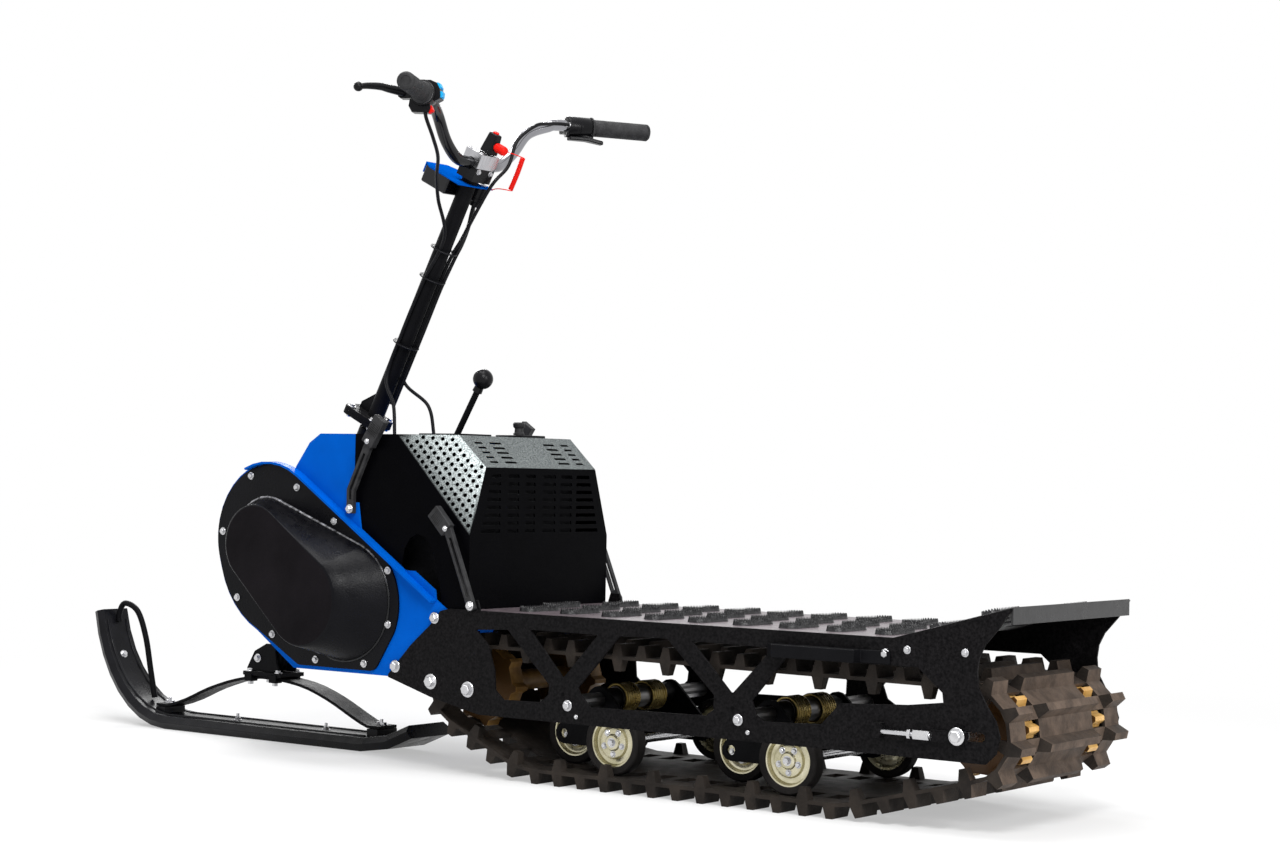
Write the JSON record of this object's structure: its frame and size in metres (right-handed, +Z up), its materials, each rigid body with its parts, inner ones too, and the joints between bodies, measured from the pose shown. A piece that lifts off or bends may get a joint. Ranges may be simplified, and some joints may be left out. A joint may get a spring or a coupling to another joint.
{
  "type": "compact snowmobile",
  "caption": "Compact stand-on snowmobile: one steered ski in front, a rubber track under a flat deck between cut-out side plates, and a leaning handlebar mast.",
  "frame": {"origin": "on the ground, in the middle plane, halfway between the track's rearmost lug and the ski's toe", "axes": "+X forward along the machine, +Y to the rider's left, +Z up"},
  "size_m": [2.2518, 0.7268, 1.237],
  "materials": {
    "black_paint": "satin powder coat",
    "blue_paint": "satin powder coat",
    "rubber": "moulded, matt",
    "black_plastic": "moulded, matt",
    "zinc": "yellow zinc plate",
    "bright_steel": "machined",
    "amber": "moulded",
    "gold_spring": "yellow zinc plate",
    "hood_paint": "silver-speckled hammer finish",
    "red": "moulded",
    "engine": null
  },
  "bodies": {
    "chassis": {"belt_cover": "black_paint", "deck": "black_paint", "drive_axle": "bright_steel", "drive_sprockets": "amber", "engine": "engine", "front_bogie_arms": "black_paint", "front_bogie_inner_wheels": "zinc", "front_bogie_outer_wheels": "zinc", "front_bogie_shaft": "gold_spring", "front_bogie_springs": "gold_spring", "front_latch_left": "rubber", "front_latch_right": "rubber", "gear_lever": "black_plastic", "head_tube": "black_paint", "hood": "hood_paint", "nose_cowl": "blue_paint", "rear_axle": "bright_steel", "rear_bogie_arms": "black_paint", "rear_bogie_inner_wheels": "zinc", "rear_bogie_outer_wheels": "zinc", "rear_bogie_shaft": "gold_spring", "rear_bogie_springs": "gold_spring", "rear_latch_left": "rubber", "rear_latch_right": "rubber", "rear_sprockets": "amber", "side_panel_left": "blue_paint", "side_panel_right": "blue_paint", "side_plate_left": "black_paint", "side_plate_right": "black_paint", "step_bar_left": "black_paint", "step_bar_right": "black_paint", "track": "rubber"},
    "steering": {"bar_clamp": "bright_steel", "brake_cable": "black_plastic", "brake_lever": "black_paint", "dash_box": "black_plastic", "dash_plate": "blue_paint", "grip_left": "rubber", "grip_right": "rubber", "handlebar": "black_paint", "ignition_switch": "black_plastic", "kill_switch": "red", "kill_switch_body": "black_plastic", "lanyard": "red", "leaf_spring": "black_paint", "ski": "black_plastic", "ski_loop": "black_paint", "steering_column": "black_paint", "steering_stem": "black_paint", "switch_housing": "black_plastic", "throttle_cable": "black_plastic", "throttle_housing": "black_plastic", "throttle_lever": "black_plastic"}
  },
  "joints": [
    {"name": "steering", "type": "hinge", "parent": "chassis", "child": "steering", "pos_m": [0.39031, 0, 0.604], "axis": [-0.4524, 0, 0.8918], "range_deg": [-30, 30], "deforming": ["brake_cable", "throttle_cable"]}
  ]
}
